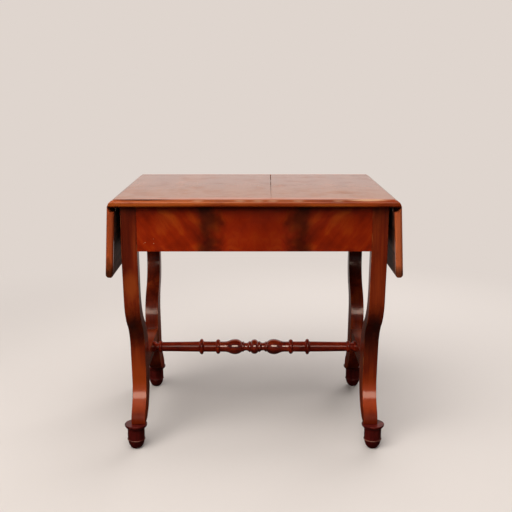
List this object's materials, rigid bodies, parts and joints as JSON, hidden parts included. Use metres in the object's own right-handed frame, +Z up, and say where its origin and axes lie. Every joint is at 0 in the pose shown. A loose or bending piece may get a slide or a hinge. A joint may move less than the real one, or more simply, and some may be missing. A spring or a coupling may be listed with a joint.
{
  "type": "drop-leaf work table",
  "caption": "Drop-leaf mahogany work table with S-curved legs on turned feet, a turned stretcher and rule-jointed leaves hanging at both ends.",
  "frame": {"origin": "on the floor under the middle of the top", "axes": "+Z up, +X to the right along the front apron, +Y from the front to the back"},
  "size_m": [0.8298, 0.622, 0.75],
  "materials": {
    "mahogany_top": "french polish, glossy",
    "mahogany_leaf": "french polish outside, plain inside",
    "mahogany_lipping": "french polish, glossy",
    "mahogany_frame": "french polish, glossy",
    "flame_veneer": "french polish, glossy, flame figure",
    "dark_foot": "dark red-brown stain, satin",
    "pine_core": "bare, aged",
    "stained_beech": "stained, dull",
    "hinge_iron": "dark worn iron",
    "pin_steel": "worn steel"
  },
  "bodies": {
    "frame": {"top_board_left": "mahogany_top", "left_hinge_top_flaps": "hinge_iron", "left_hinge_pins": "pin_steel", "left_end_rail": "stained_beech", "left_cross_rail": "mahogany_frame", "left_bracket_rail": "stained_beech", "left_fly_bracket": "stained_beech", "left_bracket_pin": "pin_steel", "top_board_right": "mahogany_top", "right_hinge_top_flaps": "hinge_iron", "right_hinge_pins": "pin_steel", "right_end_rail": "stained_beech", "right_cross_rail": "mahogany_frame", "right_bracket_rail": "stained_beech", "right_fly_bracket": "stained_beech", "right_bracket_pin": "pin_steel", "top_front_lipping": "mahogany_lipping", "front_apron": "pine_core", "front_veneer_left": "flame_veneer", "front_left_leg": "mahogany_frame", "front_left_foot": "dark_foot", "front_veneer_right": "flame_veneer", "front_right_leg": "mahogany_frame", "front_right_foot": "dark_foot", "top_back_lipping": "mahogany_lipping", "back_apron": "pine_core", "back_veneer_left": "flame_veneer", "back_left_leg": "mahogany_frame", "back_left_foot": "dark_foot", "back_veneer_right": "flame_veneer", "back_right_leg": "mahogany_frame", "back_right_foot": "dark_foot", "centre_stretcher": "mahogany_frame", "apron_glue_blocks": "pine_core", "end_rail_glue_blocks": "pine_core"},
    "left_leaf": {"left_leaf_board": "mahogany_leaf", "left_leaf_front_lipping": "mahogany_lipping", "left_leaf_back_lipping": "mahogany_lipping", "left_hinge_leaf_flaps": "hinge_iron"},
    "right_leaf": {"right_leaf_board": "mahogany_leaf", "right_leaf_front_lipping": "mahogany_lipping", "right_leaf_back_lipping": "mahogany_lipping", "right_hinge_leaf_flaps": "hinge_iron"}
  },
  "joints": [
    {"name": "left_leaf_hinge", "type": "hinge", "parent": "frame", "child": "left_leaf", "pos_m": [-0.386, 0, 0.731], "axis": [0, 1, 0], "range_deg": [0, 87]},
    {"name": "right_leaf_hinge", "type": "hinge", "parent": "frame", "child": "right_leaf", "pos_m": [0.386, 0, 0.731], "axis": [0, -1, 0], "range_deg": [0, 87]}
  ]
}
